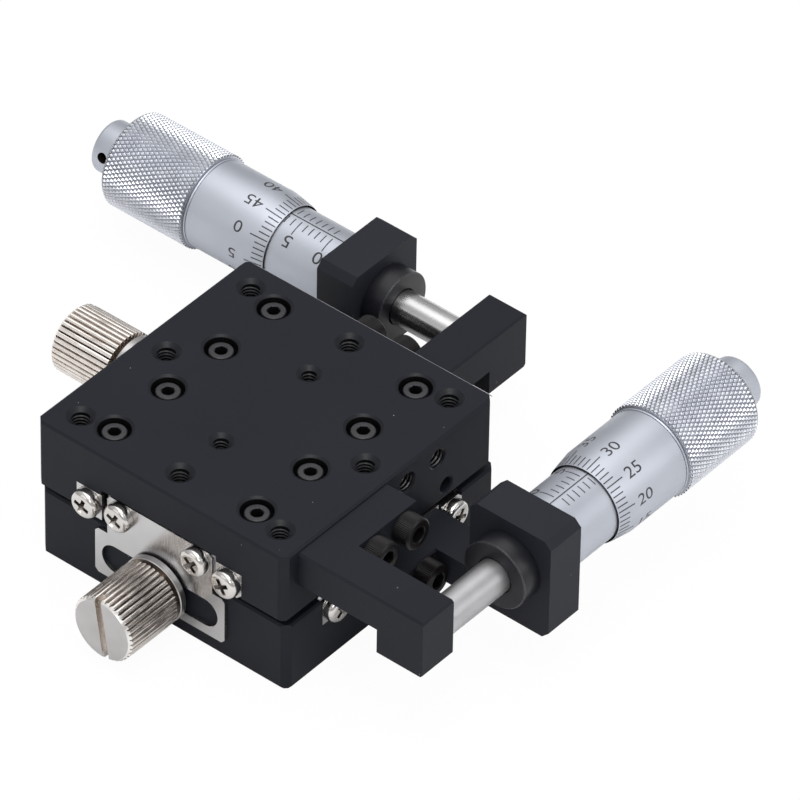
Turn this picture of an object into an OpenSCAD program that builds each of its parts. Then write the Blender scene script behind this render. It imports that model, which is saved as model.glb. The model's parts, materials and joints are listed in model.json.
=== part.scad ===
// Two-axis crossed-roller microscope stage, millimetres, +Z up.
// Origin: centre of the underside of the base. X is the lower axis of travel, Y the upper.

/* [Blocks] */
// Side of the square table and base
block_side = 40; // [38:0.5:48]
// Overall height from the underside of the base to the table top
stage_h = 22; // [21.5:0.1:25]
// Gap between table and base
block_gap = 1.2; // [1:0.1:1.6]
// Chamfer on the four upright corners
corner_cham = 1; // [0.4:0.1:1.6]
// Small bevel on the other block edges
edge_cham = 0.3; // [0.1:0.05:0.4]
// Clearance between the middle slide and the faces it passes
slide_clear = 0.3; // [0.2:0.05:0.35]

/* [Rails] */
// Width of one rail
rail_w = 3.9; // [3.7:0.05:4]
// Height of one rail
rail_h = 4; // [3.8:0.1:4.3]
// Gap between an outer and an inner rail
rail_gap = 0.7; // [0.6:0.05:0.8]
// Roller diameter
roller_d = 1.5; // [1.4:0.02:1.6]
// Rollers in one cage
roller_count = 9; // [5:1:9]
// Distance from one roller to the next
roller_pitch = 2.5; // [2.3:0.05:2.6]
// Thickness of the roller cage
cage_t = 0.4; // [0.3:0.05:0.45]
// Distance of the roller line from the centre of the stage
track_x = 9; // [8.9:0.05:9.2]

/* [Travel] */
// Full travel of each axis
travel = 13; // [8:0.5:13]
// Where the X slide stands from its centre
x_off = 0.06; // [-2:0.01:2]
// Where the Y slide stands from its centre
y_off = -0.71; // [-2:0.01:2]

/* [Table holes] */
// Spacing of the tapped hole grid
grid_pitch = 16; // [14:0.5:16]
// Wall diameter of the M3 tapped holes
grid_d = 2.5; // [2.4:0.05:2.9]
// Depth of the M3 tapped holes
grid_deep = 5; // [3:0.5:6]
// Countersink diameter of the M3 tapped holes
grid_mouth = 3.8; // [3.4:0.1:4.2]
// Wall diameter of the two small tapped holes
small_d = 2.05; // [1.2:0.05:2.4]
// Countersink diameter of the small tapped holes
small_mouth = 3.3; // [2.8:0.1:3.6]
// Distance of the small tapped holes from the centre
small_y = 8.3; // [7.5:0.1:9]

/* [Micrometers] */
// Spindle diameter
spindle_d = 4.8; // [4:0.1:5.2]
// Sleeve diameter
sleeve_d = 10.6; // [10:0.1:10.8]
// Wall of the thimble at its mouth, measured from the sleeve
mouth_wall = 0.3; // [0.25:0.05:0.5]
// Wall of the smooth part of the thimble, measured from the sleeve
barrel_wall = 0.85; // [0.7:0.05:1.1]
// Height of the knurl over the smooth part
knurl_rise = 0.5; // [0.35:0.05:0.65]
// Length of the graduated bevel
bevel_l = 3.2; // [2.6:0.2:4.4]
// Length from the mouth to the knurled grip
smooth_l = 12.9; // [11:0.1:14]
// Length of the knurled grip
knurl_l = 13.5; // [12:0.1:16]
// Diameter of the end cap
cap_d = 7.3; // [6.8:0.1:8]
// Length of the end cap
cap_l = 4.2; // [3:0.2:5]
// Diameter of the collar nut
collar_d = 9.5; // [9:0.1:10]
// Length of the collar nut
collar_l = 2.9; // [2.4:0.1:3.2]

/* [Locks] */
// Diameter of the lock knobs
knob_d = 9.3; // [8:0.1:9.8]
// Length of the knurled part of the lock knobs
knob_l = 8.9; // [6:0.1:10]
// Diameter of the smooth collar behind the knurl
knob_collar_d = 8.2; // [7:0.1:10]
// Thickness of the lock plates
plate_t = 0.5; // [0.4:0.1:0.8]

/* [Brackets] */
// Thickness of the bracket feet
foot_t = 4.7; // [4.2:0.1:5]
// Height of the arms
arm_h = 5; // [4.4:0.1:5]
// Width of the arms
arm_w = 5.8; // [5:0.1:6.2]
// Thickness of the holder plates
hold_t = 5.8; // [5:0.1:6]

/* [Hidden] */
$fn = 64;

// Cutting tools run past the faces they open by this much
over = 1;
// Full turn
turn = 360;
// Square corner angle
right = 90;

// Block levels
block_h = (stage_h - block_gap) / 2;
half = block_side / 2;
stage_mid = stage_h / 2;
rail_z = block_h - rail_h / 2;
core_floor = block_h - rail_h - 0.8;
outer_in = track_x + rail_gap / 2;
outer_out = outer_in + rail_w;
inner_out = track_x - rail_gap / 2;
inner_in = inner_out - rail_w;
channel_in = outer_in - 0.05;
end_clear = 0.05;
mid_half = half + end_clear;

// Rails, rollers and cages
stop_t = 0.8;
stop_cut = 0.7;
stop_over = 0.15;
outer_half = half - stop_t;
land = 4.5;
inner_half = mid_half - land;
groove_r = (roller_d / 2 + 0.02) * sqrt(2);
roller_l = roller_d - 0.1;
cage_half = (roller_count - 1) * roller_pitch / 2 + 1.3;
cage_h = rail_h - 0.6;
socket_clear = 0.01;

// Fasteners: shank radius, head radius, head height and key size
m2 = [1, 1.8, 1.85, 1.5];
m25 = [1.25, 2.25, 2.5, 2];
low = [0.8, 1.4, 1.1, 0.9];
pan = [1, 2, 1.5, 2.3];
thread_fit = 0.04;
socket_share = 0.55;
pan_slot = 0.6;
pan_round = 0.75;
pan_deep_share = 0.6;
head_bevel = 0.25;

// Screw positions on the blocks
rail_screw_x = 11.45;
rail_screw_edge = 5;
rail_screw_y = [rail_screw_edge, half - rail_screw_edge];
sink_d = 4.35;
sink_mouth = 5.05;
sink_h = 2.6;
sink_slope = 0.7;
rail_bite = 2.8;
stop_x = 11.25;
stop_bite = 2.9;
inner_screw_x = (inner_in + inner_out) / 2 - 0.25;
inner_screw_y = 3;
low_sink = low[2] + 0.1;
inner_bite = 2.4;
set_y = 10.8;
set_l = 4;
side_z = 3;
side_y = [3.2, 9];
side_deep = 5;
mid_drop = 2.2;
screw_pitch = 5.8;
foot_bite = 3.4;
preload_d = 2;
lock_side_deep = 3.5;
end_gap = 0.5;

// Lock plates and knobs
lock_drop = 4.3;
lock_z = block_h - lock_drop;
lock_bore_d = 4;
lock_fit = 0.05;
lock_deep = 5;
lock_bite = 4.5;
knob_gap = 0.3;
knob_collar_l = 1.5;
knob_slot_w = 1;
knob_slot_h = 1.2;
knob_slot_turn = 98.7;
knob_bevel = 0.4;
plate_low = 3.45;
plate_step = 0.6;
plate_clear = 0.4;
plate_z = [lock_z - plate_low, block_h - plate_step, stage_h - core_floor - plate_clear];
plate_w = [20.9, 16.9];
plate_screw_x = 6.15;
plate_screw_drop = 1.9;
plate_screw_z = plate_z[2] - plate_screw_drop;
plate_bite = 3;
slot_l = 18.7;
slot_h = 4.2;
plate_cut = 0.5;

// Holders
axis_out = 16.13;
axis_up = 6.44;
hold_front = 2.6;
hold_foot = [2.4, 2.1];
hold_foot_l = 8.7;
hold_neck = 9.8;
hold_end = 22.43;
hold_top = 6.6;
hold_cham = 1;
hold_bevel = 0.25;

// Levels of the bracket screws
base_side_z = side_z;
table_side_z = stage_h - side_z;
mid_low_z = stage_mid - mid_drop;
mid_high_z = stage_mid + mid_drop;

// Arms, their tips as deep as the spindle they meet
arm_reach = 19.65;
tip_l = 7.15;
tip_h = arm_h / 2 + table_side_z - mid_low_z - axis_up + spindle_d / 2;
arm_foot_l = 16.7;
arm_contact = 2.65;
arm_bevel = 0.3;

// Micrometer heads, measured along their own axis from the back of the holder
x_read_more = 0.49;
x_mid_read = travel / 2 + x_read_more;
y_mid_read = travel / 2;
x_read = x_mid_read - x_off;
y_read = y_mid_read + y_off;
zero_mark = 2.4;
lip_gap = 0.25;
mouth_at = zero_mark + lip_gap;
arm_gap = 14.25;
tip_fit = 0.02;
stem_d = 7;
stem_fit = 0.05;
run = 0.05;
stem_back = 0.2;
nut_wall = 0.8;
nut_run = 0.25;
sleeve_l = 22;
sleeve_bevel = 0.2;
bore_run = 0.04;
wall_t = 2;
journal_d = 3.5;
keeper_d = 4.6;
keeper_l = 0.8;
keeper_run = 0.3;
step_l = 0.4;
knurl_bevel = 0.3;
cap_bevel = 0.4;
cap_hole_d = 1.1;
cap_hole_s = 2.3;
cap_hole_turn = 195;
thimble_l = smooth_l + knurl_l;
mouth_d = sleeve_d + 2 * mouth_wall;
barrel_d = sleeve_d + 2 * barrel_wall;
knurl_d = barrel_d + 2 * knurl_rise;

black = [0.14, 0.15, 0.16];
steel = [0.72, 0.73, 0.75];
bright = [0.85, 0.86, 0.88];
satin = [0.78, 0.8, 0.83];
warm = [0.72, 0.6, 0.38];

// Helpers
module slab(lo, hi) {
    translate(lo) cube(hi - lo);
}

module pair_x() {
    children();
    mirror([1, 0, 0]) children();
}

module pair_y() {
    children();
    mirror([0, 1, 0]) children();
}

module four() {
    pair_x() pair_y() children();
}

// Turns a lower level shape into its upper level twin: upside down, with -Y brought round to -X
module upper_level() {
    translate([0, 0, stage_h]) mirror([0, 0, 1]) rotate([0, 0, -right]) children();
}

module along_x(l) {
    rotate([right, 0, right]) translate([0, 0, -l / 2]) linear_extrude(l) children();
}

module along_y(l) {
    rotate([right, 0, 0]) translate([0, 0, -l / 2]) linear_extrude(l) children();
}

module drill(r, l) {
    translate([0, 0, -l]) cylinder(r = r, h = l + over);
}

module countersink(r, mouth) {
    translate([0, 0, (r - mouth) * sink_slope])
        cylinder(r1 = r, r2 = mouth + over, h = (mouth - r + over) * sink_slope);
}

module tapped(r, mouth, l) {
    drill(r, l);
    countersink(r, mouth);
}

// Cap screw standing on z = 0, shank downwards
module cap_screw(s, l) {
    difference() {
        union() {
            translate([0, 0, -l]) cylinder(r = s[0], h = l);
            cylinder(r = s[1], h = s[2] - head_bevel);
            translate([0, 0, s[2] - head_bevel])
                cylinder(r1 = s[1], r2 = s[1] - head_bevel, h = head_bevel);
        }
        translate([0, 0, s[2] - s[2] * socket_share])
            cylinder(d = s[3] / cos(turn / 12), h = s[2], $fn = 6);
    }
}

// Cross-recessed pan head screw standing on z = 0
module pan_screw(l) {
    slot_h = pan[2] * pan_deep_share;
    difference() {
        union() {
            translate([0, 0, -l]) cylinder(r = pan[0], h = l);
            rotate_extrude() {
                square([pan[1], pan[2] - pan_round]);
                square([pan[1] - pan_round, pan[2]]);
                translate([pan[1] - pan_round, pan[2] - pan_round]) intersection() {
                    circle(r = pan_round);
                    square(pan_round);
                }
            }
        }
        for (a = [0, right]) rotate([0, 0, a]) translate([0, 0, pan[2] - slot_h / 2 + over / 2])
            cube([pan[3], pan_slot, slot_h + over], center = true);
    }
}

// Lower block, channel along X
module block_profile() {
    difference() {
        translate([-half, 0]) square([block_side, block_h]);
        translate([-outer_out, block_h - rail_h]) square([2 * outer_out, rail_h + over]);
        translate([-channel_in, core_floor]) square([2 * channel_in, block_h]);
        for (m = [0, 1]) mirror([m, 0]) {
            cut_corner([half, 0], edge_cham, [-1, 1]);
            cut_corner([half, block_h], edge_cham, [-1, -1]);
            cut_corner([outer_out, block_h], edge_cham, [1, -1]);
        }
    }
}

// Triangle that takes a chamfer off a corner; d points into the material
module cut_corner(p, c, d) {
    polygon([p - over * d, p + [d[0] * (c + over), -d[1] * over],
        p + [-d[0] * over, d[1] * (c + over)]]);
}

module cut_square(w, h, c) {
    polygon([[-w / 2 + c, 0], [w / 2 - c, 0], [w / 2, c], [w / 2, h - c], [w / 2 - c, h],
        [-w / 2 + c, h], [-w / 2, h - c], [-w / 2, c]]);
}

module block_blank() {
    intersection() {
        along_x(block_side) block_profile();
        along_y(block_side) cut_square(block_side, block_h, edge_cham);
        linear_extrude(block_h) translate([0, -half])
            cut_square(block_side, block_side, corner_cham);
    }
}

// Everything drilled into a block, seen as the lower block
module block_holes() {
    for (i = [-1, 0, 1], j = [-1, 0, 1]) if (i != 0 || j != 0)
        translate([i * grid_pitch, j * grid_pitch, 0]) mirror([0, 0, 1]) tapped(grid_d / 2,
            grid_mouth / 2, j == 0 ? core_floor + over : i == 0 && j < 0 ? lock_side_deep : grid_deep);
    pair_x() translate([small_y, 0, 0]) mirror([0, 0, 1])
        tapped(small_d / 2, small_mouth / 2, core_floor + over);
    four() for (x = rail_screw_y) translate([x, rail_screw_x, 0]) {
        mirror([0, 0, 1]) tapped(sink_d / 2, sink_mouth / 2, sink_h);
        cylinder(r = m2[0] + 2 * thread_fit, h = block_h);
    }
    pair_x() translate([0, half, 0]) rotate([-right, 0, 0]) {
        for (x = side_y) translate([x, -side_z, 0])
            tapped(m25[0] + thread_fit, m25[0] + edge_cham, side_deep);
        translate([set_y, -rail_z, 0])
            tapped(preload_d / 2 + thread_fit, preload_d / 2 + edge_cham, half - outer_out + over);
    }
}

// Bore for the lock knob in the -Y leg of the lower block
module lock_bore() {
    translate([0, -half, lock_z]) rotate([right, 0, 0])
        tapped(lock_bore_d / 2, lock_bore_d / 2 + edge_cham, lock_deep);
}

module base_block() {
    color(black) low_block();
}

module low_block() {
    difference() {
        block_blank();
        block_holes();
        lock_bore();
    }
}

module table_block() {
    color(black) translate([x_off, y_off, 0]) upper_level() low_block();
}

// One rail along X with its roller groove on the side at y = face
module rail(l, y_lo, face) {
    difference() {
        translate([0, 0, rail_z]) along_x(l) translate([min(y_lo, face), -rail_h / 2])
            square([rail_w, rail_h]);
        translate([0, track_x, rail_z]) along_x(l + 2 * over) rotate(right / 2)
            square(groove_r * sqrt(2), center = true);
    }
}

module outer_rails_low() {
    difference() {
        pair_y() rail(2 * outer_half, outer_out, outer_in);
        four() {
            for (x = rail_screw_y) translate([x, rail_screw_x, block_h - rail_h - over])
                cylinder(r = m2[0] + thread_fit, h = rail_bite + over);
            translate([outer_half, stop_x, rail_z]) rotate([0, right, 0])
                drill(pan[0] + thread_fit, stop_bite);
        }
    }
}

module base_rails() {
    color(steel) outer_rails_low();
}

module table_rails() {
    color(steel) translate([x_off, y_off, 0]) upper_level() outer_rails_low();
}

module rail_screws_low() {
    four() for (x = rail_screw_y) translate([x, rail_screw_x, sink_h]) mirror([0, 0, 1])
        cap_screw(m2, block_h - rail_h - sink_h + rail_bite - end_gap);
}

module base_rail_screws() {
    color(steel) rail_screws_low();
}

module table_rail_screws() {
    color(steel) translate([x_off, y_off, 0]) upper_level() rail_screws_low();
}

module stoppers_low() {
    four() difference() {
        slab([outer_half, outer_in - stop_over, block_h - rail_h], [half, outer_out, block_h]);
        translate([half, stop_x, rail_z]) rotate([0, right, 0]) drill(pan[0] + thread_fit, stop_t + over);
        translate([outer_half - over, 0, 0]) rotate([right, 0, right]) linear_extrude(stop_t + 2 * over)
            cut_corner([outer_out, block_h], stop_cut, [-1, -1]);
    }
}

module base_stoppers() {
    color(steel) stoppers_low();
}

module table_stoppers() {
    color(steel) translate([x_off, y_off, 0]) upper_level() stoppers_low();
}

module stopper_screws_low() {
    four() translate([half, stop_x, rail_z]) rotate([0, right, 0]) pan_screw(stop_t + stop_bite - end_gap);
}

module base_stopper_screws() {
    color(bright) stopper_screws_low();
}

module table_stopper_screws() {
    color(bright) translate([x_off, y_off, 0]) upper_level() stopper_screws_low();
}

module set_screws_low() {
    pair_x() translate([set_y, outer_out + set_l, rail_z]) rotate([-right, 0, 0]) difference() {
        translate([0, 0, -set_l]) cylinder(d = preload_d, h = set_l);
        translate([0, 0, -set_l * socket_share])
            cylinder(d = low[3] / cos(turn / 12), h = set_l, $fn = 6);
    }
}

module base_set_screws() {
    color(steel) set_screws_low();
}

module table_set_screws() {
    color(steel) translate([x_off, y_off, 0]) upper_level() set_screws_low();
}

// Half of the middle slide that works in the lower block
module middle_half() {
    difference() {
        union() {
            slab([-mid_half, -inner_out, block_h],
                [mid_half, inner_out, stage_mid + block_gap / 2 - slide_clear]);
            slab([-mid_half, -inner_in, core_floor + slide_clear], [mid_half, inner_in, stage_mid]);
            pair_x() slab([inner_half, -inner_out, core_floor + slide_clear], [mid_half, inner_out, stage_mid]);
            slab([-inner_out, -inner_out, block_h], [inner_out, inner_out, stage_mid]);
        }
        pair_x() pair_y() translate([inner_screw_y, inner_screw_x, stage_mid])
            translate([0, 0, -over]) cylinder(r = low[0] + thread_fit, h = inner_bite + 2 * over);
        pair_x() pair_y() translate([inner_screw_x, inner_screw_y, stage_mid]) mirror([0, 0, 1])
            translate([0, 0, -over]) cylinder(r = low[0] + thread_fit, h = inner_bite + 2 * over);
        for (y = [-screw_pitch, 0, screw_pitch]) translate([mid_half, y, mid_low_z])
            rotate([0, right, 0]) drill(m25[0] + thread_fit, foot_bite + end_gap);
        pair_y() translate([-mid_half, plate_screw_x, stage_h - plate_screw_z])
            rotate([0, -right, 0]) drill(pan[0] + thread_fit, plate_bite + end_gap);
    }
}

module middle_block() {
    color(steel) translate([x_off, 0, 0]) {
        middle_half();
        upper_level() mirror([1, 0, 0]) middle_half();
    }
}

module inner_rails_low() {
    difference() {
        pair_y() rail(2 * inner_half, inner_in, inner_out);
        pair_x() pair_y() translate([inner_screw_y, inner_screw_x, block_h - rail_h]) {
            translate([0, 0, -over]) cylinder(r = low[0] + thread_fit, h = rail_h + 2 * over);
            translate([0, 0, -over]) cylinder(r = low[1] + thread_fit, h = low_sink + over);
        }
    }
}

module x_inner_rails() {
    color(steel) translate([x_off, 0, 0]) inner_rails_low();
}

module y_inner_rails() {
    color(steel) translate([x_off, 0, 0]) upper_level() inner_rails_low();
}

module inner_screws_low() {
    pair_x() pair_y() translate([inner_screw_y, inner_screw_x, block_h - rail_h + low_sink])
        mirror([0, 0, 1]) cap_screw(low, rail_h - low_sink + block_gap + inner_bite - end_gap);
}

module inner_rail_screws() {
    color(steel) translate([x_off, 0, 0]) {
        inner_screws_low();
        upper_level() inner_screws_low();
    }
}

// Cages and rollers along X, centred on the lower level
module cages_low() {
    pair_y() difference() {
        slab([-cage_half, track_x - cage_t / 2, rail_z - cage_h / 2],
            [cage_half, track_x + cage_t / 2, rail_z + cage_h / 2]);
        roller_row(socket_clear);
    }
}

module roller_row(grow) {
    for (i = [0 : roller_count - 1])
        translate([(i - (roller_count - 1) / 2) * roller_pitch, track_x, rail_z])
            rotate([i % 2 == 0 ? right / 2 : -right / 2, 0, 0])
                cylinder(d = roller_d + 2 * grow, h = roller_l + 2 * grow, center = true);
}

module rollers_low() {
    pair_y() roller_row(0);
}

module x_cages() {
    color(warm) translate([x_off / 2, 0, 0]) cages_low();
}

module x_rollers() {
    color(bright) translate([x_off / 2, 0, 0]) rollers_low();
}

module y_cages() {
    color(warm) translate([x_off, y_off / 2, 0]) upper_level() cages_low();
}

module y_rollers() {
    color(bright) translate([x_off, y_off / 2, 0]) upper_level() rollers_low();
}

// Lock plate on the -Y side of the lower level
module lock_plate_low() {
    rotate([right, 0, 0]) translate([0, 0, mid_half]) linear_extrude(plate_t) difference() {
        union() {
            translate([0, plate_z[0]]) cut_square(plate_w[0], plate_z[1] - plate_z[0], plate_cut);
            translate([0, plate_z[0] + plate_cut])
                cut_square(plate_w[1], plate_z[2] - plate_z[0] - plate_cut, plate_cut);
        }
        translate([0, lock_z]) {
            square([slot_l - slot_h, slot_h], center = true);
            for (m = [0, 1]) mirror([m, 0]) translate([(slot_l - slot_h) / 2, 0]) circle(d = slot_h);
        }
        for (m = [0, 1]) mirror([m, 0])
            translate([plate_screw_x, plate_screw_z]) circle(r = pan[0] + thread_fit);
    }
}

module plate_screws_low() {
    pair_x() translate([plate_screw_x, -mid_half - plate_t, plate_screw_z]) rotate([right, 0, 0])
        pan_screw(plate_t + plate_bite);
}

module x_lock_plate() {
    color(bright) translate([x_off, 0, 0]) lock_plate_low();
}

module x_plate_screws() {
    color(bright) translate([x_off, 0, 0]) plate_screws_low();
}

module y_lock_plate() {
    color(bright) translate([x_off, 0, 0]) upper_level() lock_plate_low();
}

module y_plate_screws() {
    color(bright) translate([x_off, 0, 0]) upper_level() plate_screws_low();
}

// Knurled lock screw pointing to -Y, standing off the lock plate
module lock_knob_low() {
    translate([0, -mid_half - plate_t - knob_gap, lock_z]) rotate([right, 0, 0]) difference() {
        union() {
            translate([0, 0, -knob_gap - plate_t - lock_bite])
                cylinder(r = lock_bore_d / 2 - lock_fit, h = knob_gap + plate_t + lock_bite + over);
            cylinder(d = knob_collar_d, h = knob_collar_l);
            translate([0, 0, knob_collar_l]) cylinder(d = knob_d, h = knob_l - knob_bevel);
            translate([0, 0, knob_collar_l + knob_l - knob_bevel])
                cylinder(d1 = knob_d, d2 = knob_d - 2 * knob_bevel, h = knob_bevel);
        }
        translate([0, 0, knob_collar_l + knob_l]) rotate(knob_slot_turn)
            cube([knob_d + over, knob_slot_w, 2 * knob_slot_h], center = true);
    }
}

module x_lock_knob() {
    color(bright) lock_knob_low();
}

module y_lock_knob() {
    color(bright) translate([x_off, y_off, 0]) upper_level() lock_knob_low();
}

// Arm: foot on the plane x = 0, first screw at the origin, contact face towards +y
module arm() {
    difference() {
        union() {
            slab([0, -arm_contact - arm_w, -arm_h / 2],
                [foot_t, -arm_contact - arm_w + arm_foot_l, arm_h / 2]);
            slab([0, -arm_contact - arm_w, -arm_h / 2], [arm_reach, -arm_contact, arm_h / 2]);
            slab([arm_reach - tip_l, -arm_contact - arm_w, arm_h / 2 - tip_h],
                [arm_reach, -arm_contact, arm_h / 2]);
        }
        for (y = [0, screw_pitch]) translate([foot_t, y, 0]) rotate([0, right, 0])
            drill(m25[0] + 2 * thread_fit, foot_t + over);
        translate([arm_reach, 0, 0]) along_y(4 * arm_foot_l) {
            cut_corner([0, arm_h / 2], arm_bevel, [-1, -1]);
            cut_corner([0, arm_h / 2 - tip_h], arm_bevel, [-1, 1]);
        }
        translate([0, -arm_contact - arm_w, 0]) along_x(4 * arm_reach)
            cut_corner([0, arm_h / 2], arm_bevel, [1, -1]);
    }
}

module foot_screws(ys) {
    for (y = ys) translate([foot_t, y, 0]) rotate([0, right, 0]) cap_screw(m25, foot_t + foot_bite);
}

module on_table_side() {
    translate([x_off + half, y_off - side_y[1], table_side_z]) children();
}

module on_middle_end() {
    translate([x_off, mid_half, mid_high_z]) rotate([0, 0, right]) children();
}

module y_arm() {
    color(black) on_table_side() arm();
}

module x_arm() {
    color(black) on_middle_end() arm();
}

module y_arm_screws() {
    color(black) on_table_side() foot_screws([0, screw_pitch]);
}

module x_arm_screws() {
    color(black) on_middle_end() foot_screws([0, screw_pitch]);
}

// Holder: foot on the plane x = 0, nearest screw at the origin, micrometer towards +y
module holder() {
    low_z = -hold_foot[0];
    difference() {
        union() {
            slab([0, -hold_foot_l, low_z], [foot_t, hold_front + hold_t, hold_foot[1]]);
            slab([0, hold_front, low_z], [hold_neck + hold_cham, hold_front + hold_t, hold_foot[1]]);
            translate([(hold_neck + hold_end) / 2, hold_front + hold_t / 2, low_z]) along_y(hold_t)
                cut_square(hold_end - hold_neck, axis_up + hold_top - low_z, hold_cham);
        }
        translate([axis_out, hold_front + hold_t, axis_up]) rotate([-right, 0, 0])
            drill(stem_d / 2 + stem_fit, hold_t + over);
        for (y = [0, -screw_pitch]) translate([foot_t, y, 0]) rotate([0, right, 0])
            drill(m25[0] + 2 * thread_fit, foot_t + over);
        translate([foot_t, (hold_front - hold_foot_l) / 2, 0]) along_y(hold_front + hold_foot_l)
            cut_corner([0, hold_foot[1]], hold_bevel, [-1, -1]);
    }
}

module on_middle_side() {
    translate([x_off + mid_half, 0, mid_low_z]) children();
}

module on_base_side() {
    translate([-side_y[1], half, base_side_z]) rotate([0, 0, right]) children();
}

module y_holder() {
    color(black) on_middle_side() holder();
}

module x_holder() {
    color(black) on_base_side() holder();
}

module y_holder_screws() {
    color(black) on_middle_side() foot_screws([0, -screw_pitch]);
}

module x_holder_screws() {
    color(black) on_base_side() foot_screws([0, -screw_pitch]);
}

// Puts a part drawn along +z from the back of the holder into its holder
module in_holder() {
    translate([axis_out, hold_front + hold_t, axis_up]) rotate([-right, 0, 0]) children();
}

module sleeve() {
    front = -hold_t - collar_l + nut_wall + stem_back;
    rotate_extrude() polygon([[spindle_d / 2 + bore_run, front], [stem_d / 2, front], [stem_d / 2, 0],
        [sleeve_d / 2, 0], [sleeve_d / 2, sleeve_l - sleeve_bevel],
        [sleeve_d / 2 - sleeve_bevel, sleeve_l], [spindle_d / 2 + bore_run, sleeve_l]]);
}

module collar_nut() {
    front = -hold_t - collar_l;
    rotate_extrude() polygon([[spindle_d / 2 + nut_run, front], [collar_d / 2 - sleeve_bevel, front],
        [collar_d / 2, front + sleeve_bevel], [collar_d / 2, -hold_t], [stem_d / 2, -hold_t],
        [stem_d / 2, front + nut_wall], [spindle_d / 2 + nut_run, front + nut_wall]]);
}

module spindle(read, mid_read) {
    wall = mouth_at + read + thimble_l;
    tip = -hold_t - arm_gap - mid_read + read + tip_fit;
    rotate_extrude() polygon([[0, tip], [spindle_d / 2 - sleeve_bevel, tip],
        [spindle_d / 2, tip + sleeve_bevel], [spindle_d / 2, wall - wall_t - run],
        [journal_d / 2, wall - wall_t - run],
        [journal_d / 2, wall + run], [keeper_d / 2, wall + run], [keeper_d / 2, wall + run + keeper_l],
        [0, wall + run + keeper_l]]);
}

module thimble(read) {
    inner = sleeve_d / 2 + run;
    translate([0, 0, mouth_at + read]) rotate_extrude() polygon([[inner, 0], [mouth_d / 2, 0],
        [barrel_d / 2, bevel_l], [barrel_d / 2, smooth_l - step_l], [knurl_d / 2, smooth_l],
        [knurl_d / 2, thimble_l - knurl_bevel], [knurl_d / 2 - knurl_bevel, thimble_l],
        [journal_d / 2 + bore_run, thimble_l], [journal_d / 2 + bore_run, thimble_l - wall_t],
        [inner, thimble_l - wall_t]]);
}

module end_cap(read) {
    translate([0, 0, mouth_at + read + thimble_l]) difference() {
        rotate_extrude() polygon([[keeper_d / 2 + keeper_run, 0], [cap_d / 2, 0],
            [cap_d / 2, cap_l - cap_bevel], [cap_d / 2 - cap_bevel, cap_l], [0, cap_l],
            [0, keeper_l + keeper_run], [keeper_d / 2 + keeper_run, keeper_l + keeper_run]]);
        translate([0, 0, cap_hole_s]) rotate([0, right, cap_hole_turn])
            cylinder(d = cap_hole_d, h = cap_d);
    }
}

module x_sleeve() {
    color(satin) on_base_side() in_holder() sleeve();
}

module y_sleeve() {
    color(satin) on_middle_side() in_holder() sleeve();
}

module x_collar_nut() {
    color(black) on_base_side() in_holder() collar_nut();
}

module y_collar_nut() {
    color(black) on_middle_side() in_holder() collar_nut();
}

module x_spindle() {
    color(bright) on_base_side() in_holder() spindle(x_read, x_mid_read);
}

module y_spindle() {
    color(bright) on_middle_side() in_holder() spindle(y_read, y_mid_read);
}

module x_thimble() {
    color(satin) on_base_side() in_holder() thimble(x_read);
}

module y_thimble() {
    color(satin) on_middle_side() in_holder() thimble(y_read);
}

module x_end_cap() {
    color(satin) on_base_side() in_holder() end_cap(x_read);
}

module y_end_cap() {
    color(satin) on_middle_side() in_holder() end_cap(y_read);
}

base_block();
base_rails();
base_rail_screws();
base_stoppers();
base_stopper_screws();
base_set_screws();
x_holder();
x_holder_screws();
x_sleeve();
x_collar_nut();
middle_block();
x_inner_rails();
y_inner_rails();
inner_rail_screws();
x_lock_plate();
x_plate_screws();
y_lock_plate();
y_plate_screws();
x_arm();
x_arm_screws();
y_holder();
y_holder_screws();
y_sleeve();
y_collar_nut();
table_block();
table_rails();
table_rail_screws();
table_stoppers();
table_stopper_screws();
table_set_screws();
y_arm();
y_arm_screws();
x_cages();
x_rollers();
y_cages();
y_rollers();
x_spindle();
x_thimble();
x_end_cap();
y_spindle();
y_thimble();
y_end_cap();
x_lock_knob();
y_lock_knob();
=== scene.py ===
import json
import math

import bmesh
import bpy
from mathutils import Euler, Matrix, Vector

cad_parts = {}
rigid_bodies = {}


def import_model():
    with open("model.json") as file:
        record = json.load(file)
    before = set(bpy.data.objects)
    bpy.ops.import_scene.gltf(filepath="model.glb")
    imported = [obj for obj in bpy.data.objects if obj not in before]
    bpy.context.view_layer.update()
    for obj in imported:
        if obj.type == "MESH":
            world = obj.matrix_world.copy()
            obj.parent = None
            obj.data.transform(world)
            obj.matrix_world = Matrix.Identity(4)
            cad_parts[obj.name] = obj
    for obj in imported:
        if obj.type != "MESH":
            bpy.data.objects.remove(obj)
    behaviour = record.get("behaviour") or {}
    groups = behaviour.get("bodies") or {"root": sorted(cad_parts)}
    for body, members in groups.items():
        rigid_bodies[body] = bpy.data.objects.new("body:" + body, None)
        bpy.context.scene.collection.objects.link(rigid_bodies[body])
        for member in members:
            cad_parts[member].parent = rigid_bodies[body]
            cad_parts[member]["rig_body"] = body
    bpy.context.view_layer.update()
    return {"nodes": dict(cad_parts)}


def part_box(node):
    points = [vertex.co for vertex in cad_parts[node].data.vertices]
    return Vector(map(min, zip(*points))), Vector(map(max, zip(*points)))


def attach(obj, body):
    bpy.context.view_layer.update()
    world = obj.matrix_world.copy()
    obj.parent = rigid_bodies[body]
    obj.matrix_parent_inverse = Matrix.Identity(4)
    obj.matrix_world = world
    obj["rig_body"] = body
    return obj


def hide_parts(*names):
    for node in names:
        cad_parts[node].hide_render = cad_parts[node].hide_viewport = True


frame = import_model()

mm = 0.001
nodes = frame["nodes"]
scene = bpy.context.scene


# View

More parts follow.
